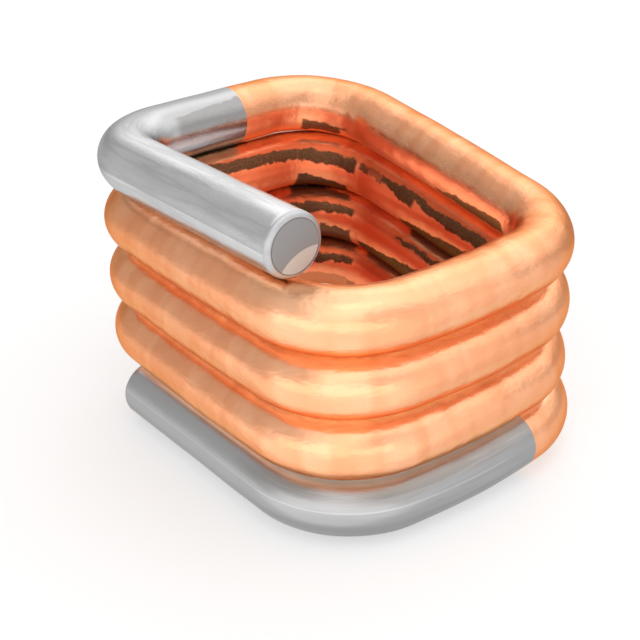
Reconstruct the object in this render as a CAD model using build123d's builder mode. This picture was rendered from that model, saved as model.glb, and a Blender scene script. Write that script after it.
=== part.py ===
from build123d import *

import math
import os

# Air core inductor: one enamelled copper wire, close wound in four and a quarter turns on a rectangular
# mandrel that is then drawn out. The winding axis is Z. The front side, at -Y, carries both ends of the
# wire, which are stripped and tinned, and is the side that is soldered down. Millimetres throughout.

# Wire
wire_diameter = 1.25
enamel_thickness = 0.035

# Mandrel, and the bend that the wire takes over each of its edges
mandrel_length = 6.20
mandrel_width = 4.65
front_left_bend = 0.76
back_left_bend = 1.26
back_right_bend = 0.94
front_right_bend = 1.14

# Winding: whole turns, the air between two passes, and the share of the step that the back side takes
whole_turns = 4
pass_gap = 0.016
back_step_share = 0.90

# Outward spring of the sides, and how much of each half side its gentle bend takes up
front_bow = 0.11
back_bow = 0.11
right_bow = 0.31
bow_spread = 0.38

# Ends of the wire, measured along X from the winding axis, and their play beside the other passes
upper_end_reach = 2.67
lower_end_reach = 2.61
upper_end_tuck = 0.11
upper_front_left_flare = 0.08
upper_back_left_flare = 0.25
lower_back_right_flare = 0.24
lower_end_flare = 0.11

# Tinned stretches: where each begins on its side, along Y, the tin on the cut face, and the rounded rim
upper_tin_start = 0.21
lower_tin_start = 1.49
face_tin_thickness = 0.05
rim_radius = 0.11

# Sizes that follow from the driving ones
wire_radius = wire_diameter / 2
stripped_radius = wire_radius - enamel_thickness
half_length = (mandrel_length + wire_diameter) / 2
half_width = (mandrel_width + wire_diameter) / 2
pass_spacing = wire_diameter + pass_gap
back_slope = back_step_share / (2 * half_length)
pitch = pass_spacing / math.sqrt(1 - (back_slope * pass_spacing) ** 2)
bends = {
    "front_left": front_left_bend + wire_radius,
    "back_left": back_left_bend + wire_radius,
    "back_right": back_right_bend + wire_radius,
    "front_right": front_right_bend + wire_radius,
}


def height(turns_down):
    """Height of the centreline, so many turns below the upper end; the lowest pass lies on Z = 0."""
    return wire_radius + pitch * (whole_turns - turns_down)


def corner_points(turn):
    """The four corners of one turn in winding order, each with its bend radius."""
    upper = turn == 0
    lower = turn == whole_turns - 1
    return [
        (
            (-half_length, -half_width - upper_front_left_flare * upper, height(turn)),
            bends["front_left"],
        ),
        (
            (-half_length - upper_back_left_flare * upper, half_width, height(turn)),
            bends["back_left"],
        ),
        (
            (half_length, half_width + lower_back_right_flare * lower, height(turn + back_step_share)),
            bends["back_right"],
        ),
        ((half_length, -half_width, height(turn + 1)), bends["front_right"]),
    ]


def bowed(start, end, outward):
    """Middle corner of a sprung side, with the radius that makes its turn a long gentle bend."""
    middle = (Vector(*start) + Vector(*end)) * 0.5 + outward
    turn_angle = (middle - Vector(*start)).get_angle(Vector(*end) - middle)
    room = bow_spread * (middle - Vector(*start)).length
    return tuple(middle), room / math.tan(math.radians(turn_angle / 2))


def between(start, end, y):
    """Point at a given Y on the straight run from start to end."""
    share = (y - start[1]) / (end[1] - start[1])
    return tuple(s + share * (e - s) for s, e in zip(start, end))


# Centreline from the upper end to the lower end, in three runs: tinned, enamelled, tinned
upper_end = (upper_end_reach, -half_width + upper_end_tuck, height(0))
lower_end = (-lower_end_reach, -half_width - lower_end_flare, height(whole_turns))
route = []
for turn in range(whole_turns):
    front_left, back_left, back_right, front_right = corner_points(turn)
    route += [front_left, back_left]
    route += [bowed(back_left[0], back_right[0], Vector(0, back_bow, 0)), back_right]
    route += [bowed(back_right[0], front_right[0], Vector(right_bow, 0, 0)), front_right]
    if turn < whole_turns - 1:
        next_front_left = corner_points(turn + 1)[0]
        route += [bowed(front_right[0], next_front_left[0], Vector(0, -front_bow, 0))]

upper_joint = between(route[0][0], route[1][0], upper_tin_start)
lower_joint = between(route[-3][0], route[-2][0], lower_tin_start)
upper_run = [(upper_end, 0), route[0], (upper_joint, 0)]
enamelled_run = [(upper_joint, 0), *route[1:-2], (lower_joint, 0)]
lower_run = [(lower_joint, 0), *route[-2:], (lower_end, 0)]


def drawn_back(run, index, amount):
    """The same run with one end moved inwards along its last straight."""
    points = [Vector(*point) for point, _ in run]
    inner = points[1] if index == 0 else points[-2]
    moved = points[index] + (inner - points[index]).normalized() * amount
    result = list(run)
    result[index] = (tuple(moved), 0)
    return result


def swept(run, radius, rim, end_is_start):
    """A round bar along a run, with its free end rounded over."""
    with BuildPart() as bar:
        with BuildLine() as centreline:
            FilletPolyline(*[point for point, _ in run], radius=[bend for _, bend in run[1:-1]])
        start = Plane(centreline.line @ 0, z_dir=centreline.line % 0)
        with BuildSketch(start):
            Circle(radius)
        sweep(path=centreline.line)
        if rim:
            free_end = centreline.line @ (0 if end_is_start else 1)
            rim_edges = bar.edges().filter_by(GeomType.CIRCLE).sort_by_distance(free_end)[0:1]
            fillet(rim_edges, radius=rim)
    return bar


# Copper inside the tin: the stripped ends, rounded at the cut
rim_inside = rim_radius - enamel_thickness
upper_copper = swept(drawn_back(upper_run, 0, face_tin_thickness), stripped_radius, rim_inside, True)
lower_copper = swept(drawn_back(lower_run, -1, face_tin_thickness), stripped_radius, rim_inside, False)

# The wire itself, never cut: enamelled along its length, with both stripped ends grown onto it
enamelled = swept(enamelled_run, wire_radius, 0, True)
with BuildPart() as winding_wire:
    add(enamelled.part)
    add(upper_copper.part)
    add(lower_copper.part)

# Tin over each end: as thick as the enamel that it replaces, so it is flush, and closed over the cut
with BuildPart() as upper_tin_coat:
    add(swept(upper_run, wire_radius, rim_radius, True).part)
    add(upper_copper.part, mode=Mode.SUBTRACT)

with BuildPart() as lower_tin_coat:
    add(swept(lower_run, wire_radius, rim_radius, False).part)
    add(lower_copper.part, mode=Mode.SUBTRACT)

# The frame's origin is below the middle of the whole coil, on the level of its lowest pass
pieces = {
    "winding_wire": winding_wire.part,
    "upper_tin_coat": upper_tin_coat.part,
    "lower_tin_coat": lower_tin_coat.part,
}
extent = Compound(children=[Compound(list(part.solids())) for part in pieces.values()]).bounding_box()
to_frame = Location((-extent.center().X, -extent.center().Y, -extent.min.Z))

os.makedirs("parts", exist_ok=True)
for name, part in pieces.items():
    placed = part.moved(to_frame)
    placed.label = name
    export_step(placed, f"parts/{name}.step")
    print(name, "solids", len(placed.solids()), "volume", round(placed.volume, 4), "valid", placed.is_valid)
print("origin shift", [round(value, 4) for value in tuple(to_frame.position)])
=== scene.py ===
import math

import bpy
import numpy as np
from mathutils import Matrix, Vector


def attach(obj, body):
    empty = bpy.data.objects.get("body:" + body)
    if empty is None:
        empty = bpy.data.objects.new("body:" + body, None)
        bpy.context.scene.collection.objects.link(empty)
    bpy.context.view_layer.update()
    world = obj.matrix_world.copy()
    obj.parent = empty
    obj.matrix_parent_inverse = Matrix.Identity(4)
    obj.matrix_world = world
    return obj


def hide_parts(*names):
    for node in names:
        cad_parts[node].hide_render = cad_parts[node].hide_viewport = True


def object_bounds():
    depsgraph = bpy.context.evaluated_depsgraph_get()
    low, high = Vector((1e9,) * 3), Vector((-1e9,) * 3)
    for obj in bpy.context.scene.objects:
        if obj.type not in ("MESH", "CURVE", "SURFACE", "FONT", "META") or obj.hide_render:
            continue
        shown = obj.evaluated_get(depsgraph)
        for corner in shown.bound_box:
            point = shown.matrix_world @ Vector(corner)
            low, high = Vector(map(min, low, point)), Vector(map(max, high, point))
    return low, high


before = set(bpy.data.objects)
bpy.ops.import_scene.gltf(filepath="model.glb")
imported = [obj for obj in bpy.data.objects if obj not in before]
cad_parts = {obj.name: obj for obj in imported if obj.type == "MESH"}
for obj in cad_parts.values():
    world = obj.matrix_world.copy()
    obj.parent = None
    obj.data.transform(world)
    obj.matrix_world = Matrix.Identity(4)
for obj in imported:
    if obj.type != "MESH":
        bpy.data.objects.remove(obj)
cad_box = [list(map(float, corner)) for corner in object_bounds()]

MM = 0.001

# Wire and mandrel, in millimetres, as in the part's source
WIRE = 1.25
ENAMEL = 0.035
MANDREL_LENGTH = 6.20
MANDREL_WIDTH = 4.65
INNER_BENDS = {"front_left": 0.76, "back_left": 1.26, "back_right": 0.94, "front_right": 1.14}
TURNS = 4
PASS_GAP = 0.016
BACK_STEP_SHARE = 0.90
FRONT_BOW = 0.11
BACK_BOW = 0.11
RIGHT_BOW = 0.31
BOW_SPREAD = 0.38
UPPER_END_REACH = 2.67
LOWER_END_REACH = 2.61
UPPER_END_TUCK = 0.11
UPPER_FRONT_LEFT_FLARE = 0.08
UPPER_BACK_LEFT_FLARE = 0.25
LOWER_BACK_RIGHT_FLARE = 0.24
LOWER_END_FLARE = 0.11
UPPER_TIN_START = 0.21
LOWER_TIN_START = 1.49
FACE_TIN = 0.05
RIM = 0.11

# Sizes that follow from them
RADIUS = WIRE / 2
BARE = RADIUS - ENAMEL
HALF_LENGTH = (MANDREL_LENGTH + WIRE) / 2
HALF_WIDTH = (MANDREL_WIDTH + WIRE) / 2
SPACING = WIRE + PASS_GAP
PITCH = SPACING / math.sqrt(1 - (BACK_STEP_SHARE / (2 * HALF_LENGTH) * SPACING) ** 2)

# Ridges where two passes touch: half width in degrees, the length over which a ridge comes up, and
# the lengths along the wire from which a pass lies above it and up to which one lies below it
RIDGE_WIDTH = 9
RIDGE_RISE = 0.6
UNDER_A_PASS_FROM = 25.2
OVER_A_PASS_TO = 78.6
END_MARGIN = 0.2

# Mesh fineness: points round the wire, the step along it in millimetres, and the angle in degrees
# above which an edge is sharp
AROUND = 72
STEP = 0.11
SHARP_EDGE = 40


def height(turns_down):
    """Centreline height, in millimetres, so many turns below the upper end."""
    return RADIUS + PITCH * (TURNS - turns_down)


def bowed(start, end, outward):
    """Middle of a side, moved outwards, with the radius of its long gentle bend."""
    a, b = np.array(start, float), np.array(end, float)
    middle = (a + b) / 2 + np.array(outward, float)
    one, two = middle - a, b - middle
    turn = math.acos(np.dot(one, two) / (np.linalg.norm(one) * np.linalg.norm(two)))
    return tuple(middle), BOW_SPREAD * np.linalg.norm(one) / math.tan(turn / 2)


def corner_route():
    """Corners of the wire from its upper to its lower end, and the middles of its bowed sides, each
    with a bend radius."""
    bend = {name: inner + RADIUS for name, inner in INNER_BENDS.items()}
    points = [((UPPER_END_REACH, -HALF_WIDTH + UPPER_END_TUCK, height(0)), 0.0)]
    for turn in range(TURNS):
        upper, lower = turn == 0, turn == TURNS - 1
        front_left = (-HALF_LENGTH, -HALF_WIDTH - UPPER_FRONT_LEFT_FLARE * upper, height(turn))
        back_left = (-HALF_LENGTH - UPPER_BACK_LEFT_FLARE * upper, HALF_WIDTH, height(turn))
        back_right = (
            HALF_LENGTH,
            HALF_WIDTH + LOWER_BACK_RIGHT_FLARE * lower,
            height(turn + BACK_STEP_SHARE),
        )
        front_right = (HALF_LENGTH, -HALF_WIDTH, height(turn + 1))
        if not upper:
            points.append(bowed(points[-1][0], front_left, (0, -FRONT_BOW, 0)))
        points += [(front_left, bend["front_left"]), (back_left, bend["back_left"])]
        points.append(bowed(back_left, back_right, (0, BACK_BOW, 0)))
        points.append((back_right, bend["back_right"]))
        points.append(bowed(back_right, front_right, (RIGHT_BOW, 0, 0)))
        points.append((front_right, bend["front_right"]))
    points.append(((-LOWER_END_REACH, -HALF_WIDTH - LOWER_END_FLARE, height(TURNS)), 0.0))
    return points


class Centreline:
    """Straight runs joined by tangent arcs. The place at a length s from the upper end is the run's
    start plus s along its direction, or on an arc the centre plus the radius turned through s
    divided by the radius."""

    def __init__(self, route):
        points = [np.array(point, float) for point, _ in route]
        self.parts = []
        self.corner_at = []
        here, length = points[0], 0.0
        for i in range(1, len(points) - 1):
            d0 = points[i] - points[i - 1]
            d1 = points[i + 1] - points[i]
            d0, d1 = d0 / np.linalg.norm(d0), d1 / np.linalg.norm(d1)
            turn = math.acos(np.clip(d0 @ d1, -1, 1))
            radius = route[i][1]
            entry = points[i] - d0 * radius * math.tan(turn / 2)
            run = np.linalg.norm(entry - here)
            self.parts.append((length, length + run, here, d0, None, None))
            length += run
            inward = d1 - d0 * (d0 @ d1)
            inward /= np.linalg.norm(inward)
            bend_end = length + radius * turn
            self.parts.append((length, bend_end, entry + inward * radius, d0, inward, radius))
            self.corner_at.append((length, bend_end))
            length = bend_end
            here = points[i] + d1 * radius * math.tan(turn / 2)
        d = points[-1] - here
        run = np.linalg.norm(d)
        self.parts.append((length, length + run, here, d / run, None, None))
        self.length = length + run

    def at(self, s):
        """Places and directions at the lengths s, as two arrays."""
        s = np.asarray(s, float)
        place, along = np.zeros((len(s), 3)), np.zeros((len(s), 3))
        for k, (start, end, origin, d, inward, radius) in enumerate(self.parts):
            low = -np.inf if k == 0 else start
            high = np.inf if k == len(self.parts) - 1 else end
            here = (s >= low) & (s < high)
            t = s[here] - start
            if radius is None:
                place[here] = origin + t[:, None] * d
                along[here] = d
            else:
                a = (t / radius)[:, None]
                place[here] = origin + radius * (np.sin(a) * d - np.cos(a) * inward)
                along[here] = np.cos(a) * d + np.sin(a) * inward
        return place, along

    def length_at_y(self, low, high, y):
        """The length between low and high at which the centreline passes a given Y."""
        s = np.linspace(low, high, 4001)
        return float(s[np.argmin(np.abs(self.at(s)[0][:, 1] - y))])


line = Centreline(corner_route())
UPPER_JOINT = line.length_at_y(line.corner_at[0][1], line.corner_at[1][0], UPPER_TIN_START)
LOWER_JOINT = line.length_at_y(line.corner_at[-3][1], line.corner_at[-2][0], LOWER_TIN_START)


def shift_to_frame():
    """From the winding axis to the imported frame, whose origin is below the middle of the coil."""
    places = line.at(np.linspace(0, line.length, 20000))[0]
    low, high = places.min(axis=0), places.max(axis=0)
    box_low, box_high = np.array(cad_box) / MM
    shift = (box_low + box_high) / 2 - (low + high) / 2
    shift[2] = box_low[2] - (low[2] - RADIUS)
    return shift


SHIFT = shift_to_frame()


def steps(low, high):
    """Even steps along the wire from low to high, both ends included."""
    return np.linspace(low, high, max(2, int(round((high - low) / STEP)) + 1))


def rounded(radius, rim, inward, count=7):
    """Quarter round of a cut end, from rim to face: how far in from the cut, and the distance from
    the axis."""
    a = np.linspace(0, math.pi / 2, count)
    return inward * (rim - rim * np.sin(a)), radius - rim + rim * np.cos(a)


def ridge(s, a, at, start, end):
    """Low rounded ridge along the wire at one angle, a bell curve across, that comes up after start
    and goes down before end. It closes half of the air that the solids keep between two passes."""
    rise = np.clip((s - start) / RIDGE_RISE, 0, 1) * np.clip((end - s) / RIDGE_RISE, 0, 1)
    across = (a - math.radians(at)) / math.radians(RIDGE_WIDTH)
    return (PITCH - WIRE) / 2 * rise * np.exp(-(across**2))


def unevenness(s, a):
    """What the wire's surface lies outside a plain round bar, in millimetres: a few long sine waves
    along and round it, under a hundredth high, such as drawing and winding leave, and the ridges on
    its top and underside where passes touch."""
    return (
        ridge(s, a, 90, UNDER_A_PASS_FROM, line.length - END_MARGIN)
        + ridge(s, a, 270, END_MARGIN, OVER_A_PASS_TO)
        + 0.0022 * np.sin(2.1 * s + 1.3 * np.sin(a) + 0.4)
        + 0.0018 * np.sin(3.7 * s + 2 * a + 1.1)
        + 0.0012 * np.sin(6.1 * s - 3 * a + 2.0)
    )


def wire_skin(name, s, r):
    """Surface of a bar along the centreline: at length s and angle a round it, the point lies r and
    the unevenness away from the centreline, along the level direction into the coil times cos(a)
    plus the upward one times sin(a). Where r is 0 the surface closes in a pole."""
    s, r = np.asarray(s, float), np.asarray(r, float)
    place, along = line.at(s)
    inward = np.cross(along, (0, 0, 1.0))
    inward /= np.linalg.norm(inward, axis=1)[:, None]
    upward = np.cross(inward, along)
    a = np.linspace(0, 2 * math.pi, AROUND, endpoint=False)
    reach = r[:, None] + np.where(r[:, None] > 0, unevenness(s[:, None], a[None, :]), 0.0)
    level_part, upward_part = reach * np.cos(a), reach * np.sin(a)
    points = (
        place[:, None, :]
        + level_part[..., None] * inward[:, None, :]
        + upward_part[..., None] * upward[:, None, :]
    )
    lengths = np.repeat(s[:, None], AROUND, axis=1)
    straight = np.stack([lengths, level_part, upward_part], axis=-1)
    return build_grid(name, (points + SHIFT) * MM, straight, r == 0)


def build_grid(name, points, straight, pole):
    """Mesh of a grid closed round its second index. A row marked as a pole is one vertex. Each
    vertex keeps its place on the wire laid straight, for the materials."""
    rows, cols = points.shape[:2]
    index = np.zeros((rows, cols), int)
    sizes = np.where(pole, 1, cols)
    starts = np.concatenate([[0], np.cumsum(sizes)[:-1]])
    index[:] = starts[:, None]
    index[~pole] += np.arange(cols)[None, :]
    keep = np.zeros((rows, cols), bool)
    keep[~pole] = True
    keep[pole, 0] = True
    vertices = points[keep]
    here, after = index[:-1], index[1:]
    here_next, after_next = np.roll(here, -1, axis=1), np.roll(after, -1, axis=1)
    quads = np.stack([here, after, after_next, here_next], axis=-1).reshape(-1, 4)
    start_pole = np.repeat(pole[:-1], cols)
    end_pole = np.repeat(pole[1:], cols)
    plain = quads[~start_pole & ~end_pole]
    from_pole = quads[start_pole & ~end_pole][:, [0, 1, 2]]
    to_pole = quads[end_pole & ~start_pole][:, [0, 1, 3]]
    corners = np.concatenate([plain.ravel(), from_pole.ravel(), to_pole.ravel()])
    counts = np.concatenate([np.full(len(plain), 4), np.full(len(from_pole) + len(to_pole), 3)])
    loop_starts = np.concatenate([[0], np.cumsum(counts)[:-1]])
    mesh = bpy.data.meshes.new(name)
    mesh.vertices.add(len(vertices))
    mesh.vertices.foreach_set("co", vertices.astype(np.float32).ravel())
    mesh.loops.add(len(corners))
    mesh.loops.foreach_set("vertex_index", corners.astype(np.int32))
    mesh.polygons.add(len(counts))
    mesh.polygons.foreach_set("loop_start", loop_starts.astype(np.int32))
    mesh.polygons.foreach_set("use_smooth", np.ones(len(counts), bool))
    mesh.update(calc_edges=True)
    laid = mesh.attributes.new("laid_straight", "FLOAT_VECTOR", "POINT")
    laid.data.foreach_set("vector", straight[keep].astype(np.float32).ravel())
    mesh.set_sharp_from_angle(angle=math.radians(SHARP_EDGE))
    piece = bpy.data.objects.new(name, mesh)
    bpy.context.scene.collection.objects.link(piece)
    return piece


def enamelled_wire():
    """The whole wire as one closed surface: bare stub, shoulder, enamelled length, shoulder, bare
    stub."""
    in_a, r_a = rounded(BARE, RIM - ENAMEL, 1.0)
    in_b, r_b = rounded(BARE, RIM - ENAMEL, -1.0)
    top, low = FACE_TIN, line.length - FACE_TIN
    upper_stub = steps(top + RIM, UPPER_JOINT)
    covered = steps(UPPER_JOINT, LOWER_JOINT)
    lower_stub = steps(LOWER_JOINT, low - RIM)
    s = np.concatenate([
        [top], top + in_a[::-1], upper_stub, covered, lower_stub, low + in_b, [low],
    ])
    r = np.concatenate([
        [0], r_a[::-1], np.full(len(upper_stub), BARE), np.full(len(covered), RADIUS),
        np.full(len(lower_stub), BARE), r_b, [0],
    ])
    return wire_skin("enamelled_wire", s, r)


def tinned_end(name, cut, joint, sign):
    """Tin over one end as a closed shell: outer skin from the joint to the rounded cut face, then
    the inner skin back to the joint. The sign is +1 where the length grows from the cut towards the
    joint."""
    face = cut + sign * FACE_TIN
    in_out, r_out = rounded(RADIUS, RIM, sign)
    in_in, r_in = rounded(BARE, RIM - ENAMEL, sign)
    outer = steps(min(joint, cut + sign * RIM), max(joint, cut + sign * RIM))
    inner = steps(min(joint, face + sign * RIM), max(joint, face + sign * RIM))
    if sign > 0:
        outer, inner = outer[::-1], inner[::-1]
    s = np.concatenate([
        [joint], outer, cut + in_out, [cut],
        [face], (face + in_in)[::-1], inner[::-1], [joint],
    ])
    r = np.concatenate([
        [BARE], np.full(len(outer), RADIUS), r_out, [0],
        [0], r_in[::-1], np.full(len(inner), BARE), [BARE],
    ])
    if sign > 0:
        s, r = s[::-1], r[::-1]
    return wire_skin(name, s, r)


# Shader maths


class Socket:
    """A socket, or a number, that Python's operators turn into Math nodes."""

    def __init__(self, tree, value):
        self.tree, self.value = tree, value

    def math(self, operation, *others):
        values = [self.value] + [o.value if isinstance(o, Socket) else o for o in others]
        return self.tree.node("ShaderNodeMath", {"operation": operation}, dict(enumerate(values)))

    def __add__(self, other):
        return self.math("ADD", other)

    def __sub__(self, other):
        return self.math("SUBTRACT", other)

    def __mul__(self, other):
        return self.math("MULTIPLY", other)

    def __truediv__(self, other):
        return self.math("DIVIDE", other)

    def __pow__(self, other):
        return self.math("POWER", other)

    def __radd__(self, other):
        return Socket(self.tree, other) + self

    def __rsub__(self, other):
        return Socket(self.tree, other) - self

    def __rmul__(self, other):
        return Socket(self.tree, other) * self

    def __rtruediv__(self, other):
        return Socket(self.tree, other) / self

    def __abs__(self):
        return self.math("ABSOLUTE")

    def clamp(self):
        return self.tree.node("ShaderNodeClamp", {}, {0: self})

    def step(self, low, high):
        """Smooth step from 0 at low to 1 at high."""
        return self.tree.node(
            "ShaderNodeMapRange",
            {"interpolation_type": "SMOOTHSTEP"},
            {0: self, 1: low, 2: high, 3: 0.0, 4: 1.0},
        )

    def drop(self, low, high):
        """Smooth step from 1 at low to 0 at high."""
        return 1 - self.step(low, high)

    def near(self, centre, inner, outer):
        """1 up to inner from the centre on both sides, and 0 from outer on."""
        return abs(self - centre).drop(inner, outer)


class Tree:
    """Node tree of one material or world."""

    def __init__(self, owner):
        owner.use_nodes = True
        self.tree = owner.node_tree
        self.tree.nodes.clear()

    def node(self, kind, settings, inputs, output=0):
        """Any node: its type, its settings, which are set first, and the values or links of its
        sockets."""
        made = self.tree.nodes.new(kind)
        for name, value in settings.items():
            setattr(made, name, value)
        for key, value in inputs.items():
            value = value.value if isinstance(value, Socket) else value
            if isinstance(value, bpy.types.NodeSocket):
                self.tree.links.new(value, made.inputs[key])
            else:
                made.inputs[key].default_value = value
        return Socket(self, made.outputs[output]) if len(made.outputs) else None

    def mix(self, factor, one, two):
        """Colour between one and two."""
        return self.node(
            "ShaderNodeMix", {"data_type": "RGBA"}, {0: factor, 6: one, 7: two}, output=2
        )

    def layers(self, colour, *coats):
        """A colour with coats laid over it in turn, each given by its cover and its colour."""
        for cover, coat in coats:
            colour = self.mix(cover, colour, coat)
        return colour

    def split(self, vector):
        """The three numbers of a vector."""
        made = self.node("ShaderNodeSeparateXYZ", {}, {0: vector})
        return [Socket(self, output) for output in made.value.node.outputs]

    def noise(self, vector, stretch=(1.0, 1.0, 1.0), detail=2.0, roughness=0.5, scale=1.0):
        """Noise of a vector whose parts are first stretched."""
        stretched = self.node(
            "ShaderNodeVectorMath", {"operation": "MULTIPLY"}, {0: vector, 1: stretch}
        )
        return self.node(
            "ShaderNodeTexNoise",
            {},
            {"Vector": stretched, "Scale": scale, "Detail": detail, "Roughness": roughness},
        )

    def rays(self, *names):
        """1 for light rays of any of the named kinds, otherwise 0."""
        outputs = self.node("ShaderNodeLightPath", {}, {}).value.node.outputs
        total = Socket(self, outputs[names[0]])
        for name in names[1:]:
            total = total + Socket(self, outputs[name])
        return total.clamp()


def rgb(red, green, blue):
    return (red, green, blue, 1.0)


def grey(level):
    return rgb(level, level, level)


# Marks on the wire, in millimetres along it from the upper end and in degrees round it: 0 faces the
# hollow, 90 faces up, 180 outwards and -90 down. Each is start, end, lower edge at both, upper edge
# at both, and strength.

# Painted dark reflections and shade: brown strokes on the side facing the hollow, where it mirrors
# open space, and a few in grooves under the pass above. The last four, inside the right side, are
# out of view and repeat the others.
PAINTED_DARK_REFLECTIONS = (
    (10.85, 12.10, (-52, -46), (-16, -26), 0.9),
    (12.00, 12.35, (-30, -27), (-24, -21), 0.7),
    (15.40, 16.00, (-42, -42), (-36, -18), 0.8),
    (15.92, 17.62, (-42, -40), (-19, -9), 0.9),
    (32.55, 35.15, (25, 17), (51, 39), 1.0),
    (35.10, 37.08, (13, 6), (38, 34), 1.0),
    (37.20, 37.60, (20, 21), (36, 35), 0.9),
    (37.55, 38.10, (24, 22), (36, 39), 0.6),
    (38.00, 39.12, (26, 11), (38, 42), 1.0),
    (39.05, 39.80, (30, 19), (42, 40), 1.0),
    (39.70, 41.80, (19, 21), (40, 48), 1.0),
    (35.15, 36.78, (-90, -70), (-13, -33), 1.0),
    (38.75, 41.20, (-90, -90), (-28, 5), 1.0),
    (32.20, 34.00, (79, 82), (104, 104), 0.7),
    (59.10, 61.42, (8, 26), (36, 42), 1.0),
    (62.95, 64.90, (36, 32), (44, 47), 1.0),
    (60.30, 61.42, (-90, -90), (-10, -8), 0.95),
    (61.75, 64.40, (-90, -90), (-22, 13), 1.0),
    (60.00, 61.05, (77, 79), (92, 84), 0.8),
    (84.10, 85.82, (9, 24), (34, 38), 1.0),
    (83.50, 85.70, (-90, -90), (-8, -10), 0.45),
    (85.68, 88.60, (-90, -90), (-14, -4), 0.6),
    (20.60, 23.10, (-44, -38), (-16, -22), 0.8),
    (44.90, 47.60, (16, 10), (40, 36), 0.9),
    (69.20, 72.40, (12, 18), (36, 42), 0.9),
    (92.10, 93.30, (14, 18), (38, 40), 0.8),
)
# Painted dim reflections and shade: tan bands inside the top of the uppermost back side, and
# fainter ones outside on the back right corner and along the right side
TAN_PAINTED_SHADE = (
    (8.80, 12.45, (4, 7), (42, 46), 1.0),
    (12.35, 18.20, (14, 20), (41, 38), 1.0),
    (18.00, 19.80, (112, 112), (172, 172), 0.4),
    (19.50, 20.50, (134, 134), (160, 160), 0.15),
    (44.20, 47.60, (114, 114), (130, 122), 0.4),
    (43.60, 45.20, (128, 128), (158, 158), 0.15),
    (69.00, 72.30, (114, 114), (132, 122), 0.5),
    (92.00, 93.60, (116, 116), (136, 136), 0.7),
)
# Painted highlights: paler copper on the front corner, and low on the outside of the front and
# right sides
PAINTED_HIGHLIGHTS = (
    (22.60, 25.30, (94, 94), (150, 150), 0.5),
    (47.20, 49.90, (112, 112), (146, 146), 0.3),
    (72.00, 74.60, (112, 112), (146, 146), 0.3),
    (19.50, 22.80, (-172, -172), (-138, -138), 0.4),
    (25.30, 30.20, (-172, -172), (-138, -138), 0.5),
    (44.30, 47.30, (-172, -172), (-138, -138), 0.4),
    (49.90, 54.60, (-172, -172), (-138, -138), 0.5),
    (69.00, 72.00, (-172, -172), (-138, -138), 0.4),
    (74.60, 79.00, (-172, -172), (-138, -138), 0.5),
)
# Painted dark reflections: darker patches on the inner side of the upper tin, beside the joint
TIN_PAINTED_DARK_REFLECTIONS = (
    (7.35, 9.60, (6, 7), (46, 58), 1.1),
    (7.60, 8.85, (-46, -42), (-30, -28), 1.2),
    (6.90, 9.75, (-64, -64), (2, 4), 0.8),
)

# Raggedness of the marks' edges, along the wire in millimetres and round it in degrees
RAGGED_LENGTH = 0.16
RAGGED_ANGLE = 24.0

# The cut face's crescent, a painted reflection of the copper: the middle and radius of the arc
# that bounds it, and its blur
CRESCENT_INWARD, CRESCENT_UPWARD = 0.37, -0.99
CRESCENT_RADIUS = (0.885, 0.905)
FACE_RADIUS = RADIUS - RIM

MICRON = 0.000001


def wire_coordinates(t):
    """Place on the wire: the raw vector, the length along it in millimetres and the angle round it
    in degrees."""
    laid = t.node("ShaderNodeAttribute", {"attribute_name": "laid_straight"}, {}, output=1)
    s, inward, upward = t.split(laid)
    return laid, s, upward.math("ARCTAN2", inward) * (180 / math.pi)


def strokes(t, laid, s, angle, marks, soft_end, soft_lower, soft_upper):
    """Ragged strokes along the wire: 1 inside a mark, 0 outside, its edges shifted by noise."""
    shift = t.noise(laid, (3.2, 3.2, 3.2), 2.5, 0.6)
    ragged_s = s + (shift - 0.5) * RAGGED_LENGTH
    ragged_angle = angle + (shift - 0.5) * RAGGED_ANGLE
    total = None
    for start, end, lower, upper, strength in marks:
        share = ((s - start) / (end - start)).clamp()
        low = share * (lower[1] - lower[0]) + lower[0]
        high = share * (upper[1] - upper[0]) + upper[0]
        mask = (
            ragged_s.step(start - soft_end, start + soft_end)
            * ragged_s.drop(end - soft_end, end + soft_end)
            * (ragged_angle - low).step(-soft_lower, soft_lower)
            * (ragged_angle - high).drop(-soft_upper, soft_upper)
        ) * strength
        total = mask if total is None else total.math("MAXIMUM", mask)
    return total


def metal(material, t, base, metallic, roughness, tint, microns):
    """Finishes a material: glossy metal with a tint at grazing angles and a relief in microns."""
    relief = t.node(
        "ShaderNodeBump", {}, {"Strength": 1.0, "Distance": MICRON, "Height": microns}
    )
    shader = t.node("ShaderNodeBsdfPrincipled", {}, {
        "Base Color": base,
        "Metallic": metallic,
        "Roughness": roughness,
        "Specular Tint": tint,
        "Normal": relief,
    })
    t.node("ShaderNodeOutputMaterial", {}, {"Surface": shader})
    return material


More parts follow.
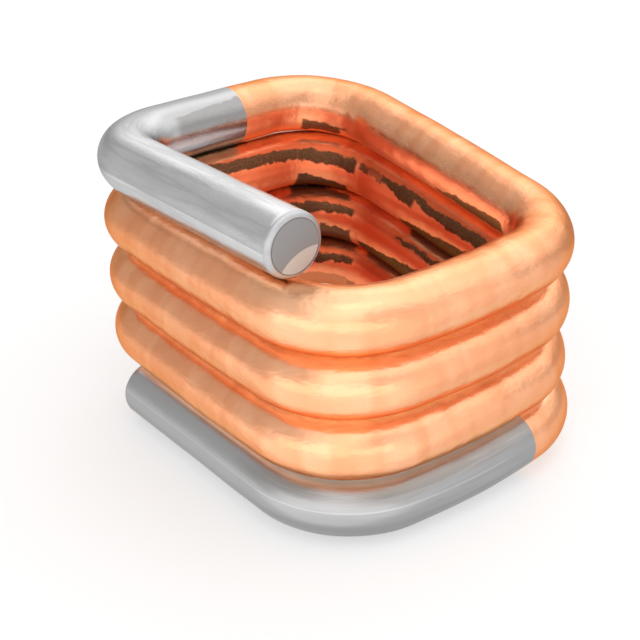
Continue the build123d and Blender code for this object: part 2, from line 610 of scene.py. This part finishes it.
def copper_material():
    """Copper wire under clear enamel: cloudy and faintly rippled, with painted dark reflections,
    painted highlights, painted shade, and painted light in the grooves where passes touch."""
    material = bpy.data.materials.new("enamelled_copper")
    t = Tree(material)
    laid, s, angle = wire_coordinates(t)
    drawn = t.noise(laid, (0.3, 9.0, 9.0), 3.0)
    cloudy = t.noise(laid, (0.7, 1.1, 1.1), 4.0, 0.6)
    ripples = t.noise(laid, (1.9, 0.35, 0.35), 1.5)
    crinkles = t.noise(laid, (2.4, 6.0, 6.0), 4.0, 0.6)
    grain = t.noise(laid, detail=1.0, scale=34.0)
    # Painted dark reflections and shade, from the first table above
    dark_reflections = strokes(t, laid, s, angle, PAINTED_DARK_REFLECTIONS, 0.055, 2.5, 2.5)
    # Painted tan shade and dim reflections
    tan = strokes(t, laid, s, angle, TAN_PAINTED_SHADE, 0.3, 3.0, 11.0)
    # Painted highlights
    painted_highlight = strokes(t, laid, s, angle, PAINTED_HIGHLIGHTS, 0.8, 8.0, 14.0)
    # Painted shade and reddened inter-reflection: the side that faces the hollow is a deeper
    # colour, deepest high up beside the next pass
    second_turn_on = s.step(18.0, 19.6)
    hollow_side = angle.step(-105, -75) * (angle - (9 + second_turn_on * 43)).drop(-5, 5)
    hollow_shade_colour = t.mix(second_turn_on, rgb(1.0, 0.34, 0.155), rgb(0.97, 0.265, 0.11))
    beside_pass_shade = second_turn_on * angle.step(26, 37) * angle.drop(48, 60)
    # Painted light in the grooves: paler where one pass lies on the next, above from the second
    # pass on and below everywhere
    steepness = abs(angle)
    from_contact = abs(steepness - 90) - steepness.step(90, 100) * 4.0
    groove_painted_light = from_contact.drop(8, 28) * angle.step(5, 0).math("MAXIMUM", s.step(25.0, 27.0))
    groove_painted_light_colour = t.mix(s.step(30.0, 31.5), rgb(1.0, 0.60, 0.38), rgb(1.0, 0.75, 0.54))
    dark_reflection_brown = t.mix(grain.step(0.3, 0.7), rgb(0.095, 0.040, 0.018), rgb(0.175, 0.076, 0.038))
    base = t.layers(
        rgb(0.98, 0.49, 0.275),
        (cloudy.step(0.35, 0.65), rgb(0.95, 0.43, 0.225)),
        (ripples.step(0.43, 0.61) * 0.85, rgb(0.90, 0.385, 0.195)),
        (grain.step(0.3, 0.7) * 0.16, rgb(0.80, 0.30, 0.15)),
        (painted_highlight, rgb(1.0, 0.59, 0.34)),
        (groove_painted_light, groove_painted_light_colour),
        (hollow_side * 0.9, hollow_shade_colour),
        (beside_pass_shade * 0.8, rgb(0.53, 0.08, 0.025)),
        (tan * (0.42 + (grain - 0.5) * 0.5), rgb(0.40, 0.19, 0.10)),
        (dark_reflections.math("MINIMUM", 1.0), dark_reflection_brown),
    )
    roughness = cloudy * 0.12 + 0.25 + hollow_side * 0.12 + dark_reflections * 0.06
    microns = cloudy * 55.0 + ripples * 26.0 + drawn * 1.4 + crinkles * 2.5 + grain * 0.4
    return metal(material, t, base, 1.0, roughness, rgb(0.80, 0.48, 0.30), microns)


def tin_material():
    """Satin solder tin with flow lines and painted highlights, reflections and shade, and a duller
    cut face with a painted reflection of the copper in a crescent."""
    material = bpy.data.materials.new("solder_tin")
    t = Tree(material)
    laid, s, angle = wire_coordinates(t)
    cloudy = t.noise(laid, (0.8, 1.4, 1.4), 4.0, 0.6)
    flow = t.noise(laid, (0.35, 4.5, 4.5), 4.0, 0.55)
    grain = t.noise(laid, detail=1.0, scale=34.0)
    flow_lines = flow.step(0.47, 0.56) * flow.drop(0.57, 0.66)
    # Painted dark reflections on the upper tin
    tin_dark_reflections = strokes(t, laid, s, angle, TIN_PAINTED_DARK_REFLECTIONS, 0.1, 1.5, 3.0)
    # Painted highlights on top of the upper lead and under it, and a painted dark reflection on
    # its outside; past its corner the tin is darker
    lead = s.drop(4.6, 6.2)
    lead_top_highlight = lead * angle.step(35, 60) * angle.drop(100, 140)
    lead_outside_reflection = lead * angle.step(158, 178)
    lead_underside_highlight = angle.near(-105, 30, 50) * s.drop(4.0, 5.5)
    # Painted light on the lower end under the last copper pass, as its reflection; painted shade
    # below that, at its low edge and over the part nearest the joint
    lower_end = s.step(40.0, 60.0)
    under_pass_reflection = lower_end * angle.near(98, 18, 24)
    shoulder = lower_end * angle.near(130, 6, 34) * s.drop(97.2, 100.5)
    low_edge_shade = lower_end * angle.near(-152, 12, 24)
    fine_line = s.step(93.5, 95.0) * (angle + flow * 6.0).near(167, 0.5, 2.2)
    # The cut faces: flat discs at the very start and end of the wire, each with a rounded rim
    _, inward, upward = t.split(laid)
    from_middle = (inward * inward + upward * upward) ** 0.5
    from_cut = s.math("MINIMUM", line.length - s)
    face = from_cut.drop(0.004, 0.012) * from_middle.drop(FACE_RADIUS - 0.012, FACE_RADIUS)
    rim = from_cut.drop(RIM * 0.9, RIM * 1.1) * (1 - face)
    face_edge = from_middle.near(FACE_RADIUS, 0.008, 0.022)
    # The crescent is a painted reflection of the copper
    across, along_up = inward - CRESCENT_INWARD, upward - CRESCENT_UPWARD
    crescent = ((across * across + along_up * along_up) ** 0.5).drop(*CRESCENT_RADIUS)
    base = t.layers(
        grey(0.68),
        (cloudy.step(0.3, 0.75), rgb(0.61, 0.61, 0.615)),
        (s.step(5.0, 7.5), grey(0.44)),
        (lower_end * s.drop(97.0, 100.0), grey(0.37)),
        (lead_top_highlight, grey(0.86)),
        (lead_outside_reflection * 0.9, grey(0.43)),
        (lead_underside_highlight, rgb(0.88, 0.87, 0.86)),
        (under_pass_reflection, rgb(0.78, 0.83, 0.91)),
        (shoulder * 0.8, rgb(0.30, 0.265, 0.238)),
        (low_edge_shade * 0.24, grey(0.20)),
        (flow_lines * 0.35, rgb(0.44, 0.44, 0.45)),
        (tin_dark_reflections * (0.8 + (grain - 0.5) * 0.4), rgb(0.30, 0.29, 0.285)),
        (fine_line * 0.7, grey(0.52)),
        (rim * 0.8, rgb(0.42, 0.42, 0.43)),
        (face_edge, grey(0.25)),
        (face, t.mix(crescent, grey(0.235), rgb(0.49, 0.455, 0.41))),
    )
    roughness = cloudy * 0.1 + 0.22 + lower_end * 0.08 + (face + rim) * 0.2
    microns = (cloudy * 16.0 + flow * 1.6 + grain * 0.2) * (1 - face)
    return metal(material, t, base, 1.0 - face * 0.7, roughness, rgb(0.75, 0.75, 0.76), microns)


# The object
copper, tin = copper_material(), tin_material()
wire = enamelled_wire()
wire.data.materials.append(copper)
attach(wire, "root")
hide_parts("winding_wire")

for name, node, cut, joint, sign in (
    ("upper_tin", "upper_tin_coat", 0.0, UPPER_JOINT, 1),
    ("lower_tin", "lower_tin_coat", line.length, LOWER_JOINT, -1),
):
    coat = tinned_end(name, cut, joint, sign)
    coat.data.materials.append(tin)
    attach(coat, "root")
    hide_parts(node)


# Floor, light and camera

# Half the floor's width, in metres
FLOOR_REACH = 0.6

# Soft cards: compass angle from the front, height angle, distance in millimetres, width, height,
# level and whether the card lies flat. The last one hangs in the hollow and lights its walls.
CARDS = (
    ("front_card", 36, 8, 35, 80, 19, 1.0, False),
    ("right_card", 105, 6, 34, 36, 22, 0.35, False),
    ("low_card", 36, -9.2, 19.2, 50, 28, 0.4, True),
    ("high_card", 40, 55, 90, 60, 94, 0.8, False),
    ("hollow_card", 90, 82.9, 0.806, 3.4, 4.6, 1.1, True),
)

# Camera: angles in degrees, distance from the middle of the coil in wire diameters, focal length
# and the place of the coil's middle in pixels, in a frame of so many pixels
CAMERA_AZIMUTH, CAMERA_ELEVATION, CAMERA_ROLL = 52.271, 26.122, -0.740
CAMERA_DISTANCE = 20.943
FOCAL_PIXELS = 1260.8
MIDDLE_X, MIDDLE_Y = 331.49, 281.43
FRAME_PIXELS = 640.0
SENSOR = 36.0


def outward_from_front(azimuth, elevation):
    """Unit vector at a compass angle from the front and a height angle, both in radians."""
    return Vector((
        math.sin(azimuth) * math.cos(elevation),
        -math.cos(azimuth) * math.cos(elevation),
        math.sin(elevation),
    ))


def pale_floor():
    """Level floor under the coil, almost white. Mirrored in the wire it is a little darker towards
    the back left."""
    r = FLOOR_REACH
    mesh = bpy.data.meshes.new("floor")
    mesh.from_pydata([(-r, -r, 0), (r, -r, 0), (r, r, 0), (-r, r, 0)], [], [(0, 1, 2, 3)])
    floor = bpy.data.objects.new("floor", mesh)
    bpy.context.scene.collection.objects.link(floor)
    material = bpy.data.materials.new("pale_floor")
    t = Tree(material)
    camera = t.rays("Is Camera Ray")
    glowing = camera * 0.45 + t.rays("Is Glossy Ray", "Is Transmission Ray")
    lit = t.node("ShaderNodeBsdfDiffuse", {}, {"Color": grey(0.85)})
    x, y, _ = t.split(t.node("ShaderNodeTexCoord", {}, {}, output=3))
    brightness = 0.7 + (x * 0.8 - y * 0.6).step(-0.014, -0.004) * 0.35
    glow = t.node("ShaderNodeEmission", {}, {
        "Color": t.mix(brightness.math("MAXIMUM", camera), grey(0), grey(1)),
        "Strength": 1.0,
    })
    mixed = t.node("ShaderNodeMixShader", {}, {0: glowing, 1: lit, 2: glow})
    t.node("ShaderNodeOutputMaterial", {}, {"Surface": mixed})
    mesh.materials.append(material)


def studio_world():
    """Pale surroundings: white to the camera, and as light and in reflections a little brighter on
    the front right than on the back left, and brightest above the back and high on the left."""
    world = bpy.data.worlds.new("studio")
    bpy.context.scene.world = world
    t = Tree(world)
    x, y, z = t.split(t.node("ShaderNodeTexCoord", {}, {}, output=0))
    rightward = x * 0.8 - y * 0.6
    toward_top_back = x * 0.087 + y * 0.492 + z * 0.866
    toward_back_left = x * -0.591 + y * 0.656 + z * 0.469
    mirrored = (
        rightward * 0.25 + 0.70
        + toward_top_back.step(0.55, 0.95) * 0.9
        + toward_back_left.step(0.72, 0.96) * 0.65
    )
    camera = t.rays("Is Camera Ray")
    level = camera + (1 - camera) * mirrored
    background = t.node("ShaderNodeBackground", {}, {"Color": grey(1), "Strength": level})
    t.node("ShaderNodeOutputWorld", {}, {"Surface": background})


def soft_card(name, azimuth, elevation, distance, width, tall, level, lies_flat):
    """Area lamp that faces the coil, or straight up where it lies flat. Its level is how bright
    it looks in a mirror, where 1 is white."""
    lamp = bpy.data.lights.new(name, "AREA")
    lamp.shape = "RECTANGLE"
    lamp.size, lamp.size_y = width * MM, tall * MM
    lamp.energy = level * math.pi * lamp.size * lamp.size_y
    a = math.radians(azimuth)
    away = outward_from_front(a, math.radians(elevation))
    flat, facing = (math.pi, 0, a), (-away).to_track_quat("-Z", "Y").to_euler()
    holder = bpy.data.objects.new(name, lamp)
    holder.location = Vector((0, 0, cad_box[1][2] / 2)) + away * distance * MM
    holder.rotation_euler = flat if lies_flat else facing
    holder.visible_camera = False
    bpy.context.scene.collection.objects.link(holder)


def photo_camera():
    """Camera at the photograph's viewing angle, turned about the winding axis and raised above the
    floor."""
    azimuth, roll = math.radians(CAMERA_AZIMUTH), math.radians(CAMERA_ROLL)
    back = outward_from_front(azimuth, math.radians(CAMERA_ELEVATION))
    level = Vector((math.cos(azimuth), math.sin(azimuth), 0))
    over = back.cross(level)
    right = math.cos(roll) * level + math.sin(roll) * over
    up = -math.sin(roll) * level + math.cos(roll) * over
    middle = Vector(SHIFT * MM) + Vector((0, 0, height(TURNS / 2) * MM))
    camera = bpy.data.cameras.new("camera")
    camera.sensor_width = SENSOR
    camera.lens = FOCAL_PIXELS / FRAME_PIXELS * SENSOR
    camera.shift_x = (FRAME_PIXELS / 2 - MIDDLE_X) / FRAME_PIXELS
    camera.shift_y = (MIDDLE_Y - FRAME_PIXELS / 2) / FRAME_PIXELS
    camera.clip_start = MM
    holder = bpy.data.objects.new("camera", camera)
    turn = Matrix((right, up, back)).transposed().to_4x4()
    holder.matrix_world = Matrix.Translation(middle + back * CAMERA_DISTANCE * WIRE * MM) @ turn
    bpy.context.scene.collection.objects.link(holder)
    bpy.context.scene.camera = holder


pale_floor()
studio_world()
for card in CARDS:
    soft_card(*card)
photo_camera()
bpy.context.scene.view_settings.view_transform = "Standard"
